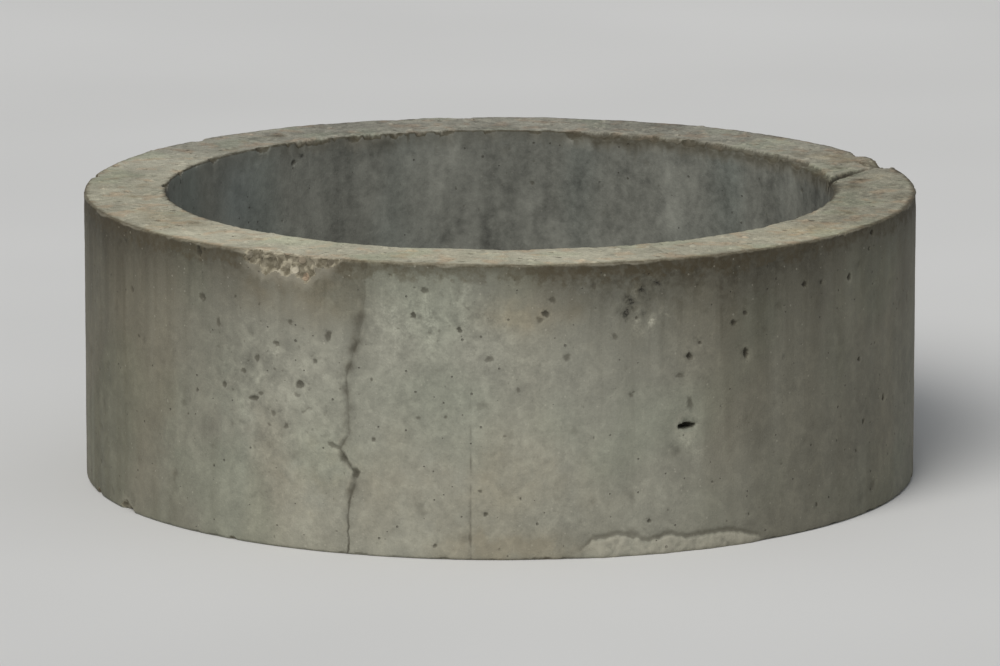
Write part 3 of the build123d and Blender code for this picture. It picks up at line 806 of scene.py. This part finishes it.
# --------------------------------------------------------------------------
# materials
# --------------------------------------------------------------------------
class Graph:
    """Short names for building a node tree."""

    def __init__(self, name):
        self.mat = bpy.data.materials.new(name)
        self.mat.use_nodes = True
        self.nt = self.mat.node_tree
        self.nt.nodes.clear()

    def node(self, kind, **settings):
        n = self.nt.nodes.new(kind)
        for key, value in settings.items():
            setattr(n, key, value)
        return n

    def put(self, socket, value):
        if isinstance(value, bpy.types.NodeSocket):
            self.nt.links.new(value, socket)
        elif value is not None:
            if socket.type == "RGBA" and len(value) == 3:
                value = (*value, 1)
            socket.default_value = value

    def math(self, op, a, b=None, c=None, clamp=False):
        n = self.node("ShaderNodeMath", operation=op, use_clamp=clamp)
        for s, v in zip(n.inputs, (a, b, c)):
            self.put(s, v)
        return n.outputs[0]

    def add(self, *terms):
        total = terms[0]
        for t in terms[1:]:
            total = self.math("ADD", total, t)
        return total

    def mul(self, *terms):
        total = terms[0]
        for t in terms[1:]:
            total = self.math("MULTIPLY", total, t)
        return total

    def swing(self, noise, gain):
        """A noise of 0 to 1 as a swing about nought."""
        return self.math("MULTIPLY_ADD", noise, gain, -0.5 * gain)

    def range(self, x, lo, hi, to_lo=0.0, to_hi=1.0, kind="SMOOTHSTEP"):
        n = self.node("ShaderNodeMapRange", interpolation_type=kind, clamp=True)
        for key, v in (("Value", x), ("From Min", lo), ("From Max", hi), ("To Min", to_lo), ("To Max", to_hi)):
            self.put(n.inputs[key], v)
        return n.outputs[0]

    def mix(self, fac, a, b, blend="MIX"):
        n = self.node("ShaderNodeMix", data_type="RGBA", blend_type=blend, clamp_factor=True)
        self.put(n.inputs[0], fac)
        self.put(n.inputs[6], a)
        self.put(n.inputs[7], b)
        return n.outputs[2]

    def tint(self, fac, colour, by):
        """The colour, and where fac is 1 the colour times by."""
        return self.mix(fac, colour, self.vec("MULTIPLY", colour, by))

    def vec(self, op, a, b=None):
        n = self.node("ShaderNodeVectorMath", operation=op)
        self.put(n.inputs[0], a)
        if b is not None:
            self.put(n.inputs[3] if op == "SCALE" else n.inputs[1], b)
        return n.outputs["Value"] if op in ("LENGTH", "DOT_PRODUCT", "DISTANCE") else n.outputs["Vector"]

    def noise(self, vector, size, detail=2.0, rough=0.5, shift=0.0, warp=0.0):
        """size in metres; about 0 to 1 round 0.5."""
        if shift:
            vector = self.vec("ADD", vector, (shift, shift * 0.7, shift * 1.3))
        n = self.node("ShaderNodeTexNoise", noise_dimensions="3D")
        self.put(n.inputs["Vector"], vector)
        self.put(n.inputs["Scale"], 1 / size)
        self.put(n.inputs["Detail"], detail)
        self.put(n.inputs["Roughness"], rough)
        self.put(n.inputs["Distortion"], warp)
        return n.outputs[0]

    def spots(self, vector, size, shift=0.0):
        """Distance to the nearest spot's centre, in cells, and three random numbers for each spot."""
        if shift:
            vector = self.vec("ADD", vector, (shift, shift * 0.7, shift * 1.3))
        n = self.node("ShaderNodeTexVoronoi", voronoi_dimensions="3D", feature="F1")
        self.put(n.inputs["Vector"], vector)
        self.put(n.inputs["Scale"], 1 / size)
        parts = self.node("ShaderNodeSeparateColor")
        self.put(parts.inputs[0], n.outputs["Color"])
        return n.outputs["Distance"], *parts.outputs[:3]

    def attr(self, name):
        return self.node("ShaderNodeAttribute", attribute_type="GEOMETRY", attribute_name=name).outputs["Fac"]


def lin(r, g, b):
    """A colour from 0-255 display values."""
    return tuple(((v / 255 + 0.055) / 1.055) ** 2.4 if v > 10 else v / 255 / 12.92 for v in (r, g, b))


G = Graph("weathered_concrete")
place = G.node("ShaderNodeTexCoord").outputs["Object"]
xyz = G.node("ShaderNodeSeparateXYZ")
G.put(xyz.inputs[0], place)
X, Y, Z = xyz.outputs
streak_place = G.vec("MULTIPLY", place, (1.0, 1.0, 0.07))
long_place = G.vec("MULTIPLY", place, (1.0, 1.0, 0.30))
top, bore, chips = G.attr("on_top"), G.attr("in_bore"), G.attr("chip")
hole_shade, hollow, seams, soft = G.attr("pit_shade"), G.attr("cavity"), G.attr("seam"), G.attr("smudge_and_shade")
cracks, lips, foot = G.attr("crack"), G.attr("lip"), G.attr("flash")
tones, warms, brown_and_shade, patchy = G.attr("tone"), G.attr("warm"), G.attr("brown"), G.attr("mottle")
bands, reaches, shade_and_dirt_node = G.attr("band"), G.attr("reach"), G.attr("shade_and_dirt")
outside = G.math("SUBTRACT", 1.0, G.math("MAXIMUM", top, bore), clamp=True)

# noises shared by the layers
n_110 = G.noise(long_place, 0.110, 1, 0.5, 1.0)
n_36 = G.noise(place, 0.036, 2, 0.5, 2.0)
n_14 = G.noise(place, 0.014, 3, 0.55, 3.0, 0.6)
n_6 = G.noise(place, 0.0062, 2, 0.6, 4.0)
n_2 = G.noise(place, 0.0021, 2, 0.6, 5.0)
streak = G.noise(streak_place, 0.011, 2, 0.6, 6.0)
streak_wide = G.noise(streak_place, 0.045, 1, 0.5, 7.0)
d_sand, sand_a, sand_b, sand_c = G.spots(place, 0.0017, 8.0)
sand = G.mul(G.range(d_sand, 0.55, 0.25), G.swing(sand_a, 1.0))

# --- outer wall ---
paste = G.range(n_14, 0.50, 0.62)  # islands of paler paste
light = G.add(
    1.0,
    G.swing(n_110, 0.42),
    G.swing(n_36, 0.42),
    G.swing(n_14, 0.34),
    G.mul(paste, 0.06),
    G.mul(G.swing(n_6, 0.39), G.range(brown_and_shade, 0.0, 1.0, 1.0, 0.6, "LINEAR")),
    G.swing(n_2, 0.24),
    G.mul(sand, 0.15),
    G.mul(G.swing(n_14, 0.68), patchy),
    G.mul(G.swing(n_6, 0.12), patchy),
    G.swing(streak, 0.10),
    G.swing(streak_wide, 0.18),
    G.mul(tones, G.range(n_2, 0.38, 0.62, 0.60, 1.40), G.range(n_6, 0.36, 0.62, 0.60, 1.40), 0.35),
)
light = G.math("MAXIMUM", light, 0.25)
wall = G.vec("SCALE", lin(140, 139, 126.5), light)
wall = G.tint(G.range(G.noise(place, 0.13, 1, 0.5, 9.0), 0.50, 0.66), wall, (0.975, 1.01, 0.99))
warmth = G.add(warms, G.mul(G.range(G.noise(long_place, 0.08, 1, 0.5, 11.0), 0.52, 0.70), 0.30))
wall = G.tint(G.math("ADD", warmth, 0.0, clamp=True), wall, (1.02, 0.95, 0.87))
wall = G.tint(G.math("MULTIPLY", warms, -1.0, clamp=True), wall, (0.94, 1.01, 0.99))
# brown stain on the left; on the right side, painted shade in a brown tint
wall = G.tint(brown_and_shade, wall, (0.525, 0.495, 0.450))
# --- top ---
t_70 = G.noise(place, 0.070, 1, 0.5, 21.0)
t_20 = G.noise(place, 0.019, 2, 0.6, 22.0, 0.5)
t_7 = G.noise(place, 0.0068, 2, 0.6, 23.0)
t_3 = G.noise(place, 0.0026, 1, 0.6, 24.0)
t_light = G.add(
    1.0, G.swing(t_70, 0.60), G.swing(t_20, 0.60), G.swing(t_7, 0.53), G.swing(t_3, 0.38), G.mul(sand, 0.20), G.mul(tones, 0.35)
)
upper = G.vec("SCALE", lin(167.5, 163.5, 144), G.math("MAXIMUM", t_light, 0.2))
upper = G.tint(G.range(G.noise(place, 0.026, 2, 0.6, 25.0), 0.50, 0.66), upper, (1.05, 0.925, 0.865))
upper = G.tint(G.range(G.noise(place, 0.055, 1, 0.5, 27.0), 0.52, 0.68), upper, (0.95, 1.0, 0.96))
upper = G.tint(G.math("ADD", warms, 0.0, clamp=True), upper, (0.98, 0.89, 0.78))
upper = G.tint(G.range(Y, -0.05, 0.33), upper, (0.97, 0.985, 1.06))
# --- bore ---
b_streak = G.noise(G.vec("MULTIPLY", place, (1.0, 1.0, 0.16)), 0.024, 2, 0.6, 31.0)
b_wide = G.noise(streak_place, 0.075, 1, 0.5, 32.0)
b_mid = G.noise(long_place, 0.026, 2, 0.6, 33.0)
b_light = G.add(
    1.0, G.swing(b_wide, 0.60), G.swing(b_streak, 0.60), G.swing(b_mid, 0.95), G.swing(n_36, 0.66), G.swing(n_14, 0.84), G.swing(n_6, 0.74), G.swing(n_2, 0.28),
    G.mul(sand, 0.14), G.mul(tones, 0.5)
)
inner = G.vec("SCALE", lin(105.5, 106, 98.5), G.math("MAXIMUM", b_light, 0.2))
inner = G.tint(G.range(n_110, 0.48, 0.66), inner, (0.95, 1.0, 1.02))
inner = G.tint(G.math("MULTIPLY", warms, -1.0, clamp=True), inner, (0.90, 1.0, 1.10))

colour = G.mix(top, wall, upper)
colour = G.mix(bore, colour, inner)

# --- brown water stain under the lip, with runs ---
runs = G.math("POWER", G.range(G.noise(streak_place, 0.010, 2, 0.65, 41.0), 0.40, 0.74), 1.5)
runs_wide = G.math("POWER", G.range(G.noise(streak_place, 0.034, 1, 0.5, 42.0), 0.44, 0.72), 1.2)
fall = G.math("SUBTRACT", 0.2592, Z)  # metres below the top
far = G.math("DIVIDE", fall, G.mul(reaches, G.add(0.76, G.mul(runs, 0.30), G.mul(runs_wide, 0.50), G.swing(n_36, 0.5))))
stain = G.math("EXPONENT", G.mul(G.math("POWER", G.math("MAXIMUM", far, 0.0), 1.3), -1.0))
stain = G.mul(stain, outside, bands, G.range(n_6, 0.30, 0.60, 0.78, 1.0), G.range(n_14, 0.32, 0.60, 0.80, 1.0))
colour = G.tint(G.math("MULTIPLY", G.mul(stain, G.range(lips, 1.0, 0.2, 0.75, 1.0)), 1.12, clamp=True), colour, (0.20, 0.18, 0.148))
edge_w = G.add(G.range(G.noise(place, 0.014, 3, 0.65, 43.0), 0.35, 0.65, 0.0025, 0.0125), G.mul(bands, 0.0070))
brow = G.mul(G.range(top, 0.99, 0.80), G.math("SUBTRACT", 1.0, bore, clamp=True))  # reaches over the arris
line = G.mul(G.range(G.math("SUBTRACT", fall, edge_w), 0.0030, -0.0030), brow, G.range(bands, 0.1, 1.0, 0.62, 0.70, "LINEAR"))
line = G.mul(line, G.range(lips, 0.9, 0.3, 0.86, 1.0), G.range(n_2, 0.30, 0.60, 0.60, 1.0), G.range(n_6, 0.35, 0.60, 0.55, 1.0), 0.95)
colour = G.mix(line, colour, lin(74, 66, 49))

# --- pale crust on the lip; pale mortar on the foot bulge, lightened further as a painted highlight ---
colour = G.mix(G.mul(lips, outside, 0.12), colour, lin(150, 143, 122))
colour = G.mix(G.mul(foot, G.range(n_6, 0.35, 0.6, 0.35, 0.9), 0.42), colour, lin(166, 162, 146))

# --- broken faces: paler paste with stones ---
d_stone, s_a, s_b, s_c = G.spots(place, 0.0085, 51.0)
stone_col = G.mix(G.range(s_a, 0.35, 0.85), lin(180, 172, 152), lin(112, 105, 90))
stone_col = G.mix(G.mul(G.range(s_b, 0.72, 0.86), 0.8), stone_col, lin(146, 120, 96))
broken = G.mix(G.range(t_7, 0.35, 0.65), lin(112, 105, 87), lin(168, 160, 139))
is_stone = G.mul(G.range(d_stone, 0.50, 0.36), G.range(s_c, 0.26, 0.36))
broken = G.mix(is_stone, broken, stone_col)
colour = G.mix(G.mul(chips, 0.85), colour, broken)

# --- pinholes, darkened as painted shade, and pale specks ---
d_pin, p_a, p_b, p_c = G.spots(place, 0.0080, 61.0)
pinhole = G.range(G.math("SUBTRACT", G.range(p_a, 0.62, 1.0, 0.0, 0.15, "LINEAR"), d_pin), -0.02, 0.03)
d_speck, k_a, k_b, k_c = G.spots(place, 0.0056, 63.0)
speck = G.range(G.math("SUBTRACT", G.range(k_a, 0.66, 1.0, 0.0, 0.20, "LINEAR"), d_speck), -0.02, 0.05)
colour = G.mix(G.mul(speck, G.math("SUBTRACT", 1.0, pinhole), G.range(bore, 0.0, 1.0, 0.20, 0.07, "LINEAR")), colour, lin(190, 186, 170))
colour = G.mix(G.mul(pinhole, 0.55), colour, lin(60, 56, 47))

# --- painted shade in the hollows, paler where the surface stands proud; then the darker marks ---
colour = G.mix(G.mul(G.range(hollow, -0.05, -0.85), 0.46), colour, lin(68, 63, 51))
colour = G.mix(G.mul(G.range(hollow, 0.12, 0.90), 0.20), colour, lin(190, 184, 166))
# smudge along the seam, stain and painted shade, and painted shade in the crease over the foot bulge
colour = G.mix(G.mul(soft, 0.66), colour, lin(66, 61, 50))
# dirt and painted shade under and along the inner edge and in its chips; stain on the ledge
colour = G.mix(G.mul(shade_and_dirt_node, G.range(n_6, 0.25, 0.60, 0.65, 1.0), 0.90), colour, lin(65, 60, 46))
# painted shade in the holes
colour = G.mix(G.mul(hole_shade, 0.72), colour, lin(46, 43, 35))
# the seam's groove: stain and painted shade
colour = G.mix(G.mul(seams, 0.64), colour, lin(48, 45, 36))
# painted shade in the cracks
colour = G.mix(G.mul(cracks, 0.85), colour, lin(42, 37, 29))

# --- relief finer than the mesh ---
rough_amount = G.range(G.math("MAXIMUM", top, chips), 0.0, 1.0, 1.0, 2.6, "LINEAR")
relief = G.add(
    G.mul(n_2, rough_amount, 0.00026),
    G.mul(sand, rough_amount, 0.00012),
    G.mul(pinhole, -0.0009),
    G.mul(is_stone, chips, 0.0006),
)
bump = G.node("ShaderNodeBump")
bump.inputs["Strength"].default_value = 1.0
bump.inputs["Distance"].default_value = 1.0
G.put(bump.inputs["Height"], relief)

shade = G.node("ShaderNodeBsdfPrincipled")
G.put(shade.inputs["Base Color"], colour)
G.put(shade.inputs["Roughness"], G.add(G.range(n_14, 0.3, 0.7, 0.80, 0.93), G.mul(chips, 0.05)))
shade.inputs["Specular IOR Level"].default_value = 0.3
G.put(shade.inputs["Normal"], bump.outputs[0])
out = G.node("ShaderNodeOutputMaterial")
G.nt.links.new(shade.outputs[0], out.inputs[0])
ring.data.materials.clear()
ring.data.materials.append(G.mat)

# --------------------------------------------------------------------------
# the frame: this piece stands for the solid
# --------------------------------------------------------------------------
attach(ring, "root")
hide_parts("concrete_ring")

# --------------------------------------------------------------------------
# pale floor, soft light, camera
# --------------------------------------------------------------------------
F = Graph("pale_floor")
fp = F.node("ShaderNodeTexCoord").outputs["Object"]
fs = F.node("ShaderNodeBsdfPrincipled")
F.put(fs.inputs["Base Color"], F.mix(F.range(F.noise(fp, 0.9, 2, 0.5), 0.3, 0.7), (0.60, 0.597, 0.585), (0.64, 0.637, 0.625)))
fs.inputs["Roughness"].default_value = 0.9
fo = F.node("ShaderNodeOutputMaterial")
F.nt.links.new(fs.outputs[0], fo.inputs[0])
bpy.ops.mesh.primitive_circle_add(vertices=96, radius=40, fill_type="NGON", location=(0, 0, 0))
floor = bpy.context.object
floor.name = "floor"
floor.data.materials.append(F.mat)

world = bpy.data.worlds.new("studio")
bpy.context.scene.world = world
world.use_nodes = True
bg = world.node_tree.nodes["Background"]
bg.inputs["Color"].default_value = (0.90, 0.94, 1.0, 1)
bg.inputs["Strength"].default_value = 0.25


def sun(name, azimuth, elevation, spread, strength, colour):
    """Light from the given XY azimuth and elevation, softened over the given angle."""
    lamp = bpy.data.lights.new(name, "SUN")
    lamp.angle = math.radians(spread)
    lamp.energy = strength
    lamp.color = colour
    o = bpy.data.objects.new(name, lamp)
    bpy.context.scene.collection.objects.link(o)
    a, e = math.radians(azimuth), math.radians(elevation)
    where = Vector((math.cos(a) * math.cos(e), math.sin(a) * math.cos(e), math.sin(e)))
    o.location = where * 4
    o.rotation_euler = (-where).to_track_quat("-Z", "Y").to_euler()


sun("key", -116, 44, 34, 2.60, (1.0, 0.985, 0.96))
sun("sky", -60, 80, 90, 0.35, (0.95, 0.975, 1.0))

scene = bpy.context.scene
scene.view_settings.view_transform = "Standard"
scene.view_settings.look = "None"
scene.view_settings.exposure = 0.0
scene.view_settings.gamma = 1.0

camera = bpy.data.cameras.new("camera")
cam = bpy.data.objects.new("camera", camera)
scene.collection.objects.link(cam)
cam.location = (0.0, -7.02, 1.53)
cam.rotation_euler = (Vector((0, 0, 0.125)) - cam.location).to_track_quat("-Z", "Y").to_euler()
camera.sensor_width = 36
camera.lens = 285
camera.clip_end = 200
scene.camera = cam

print("ring faces", len(mesh.polygons), "vertices", len(mesh.vertices), "grid", NS, "x", NT)
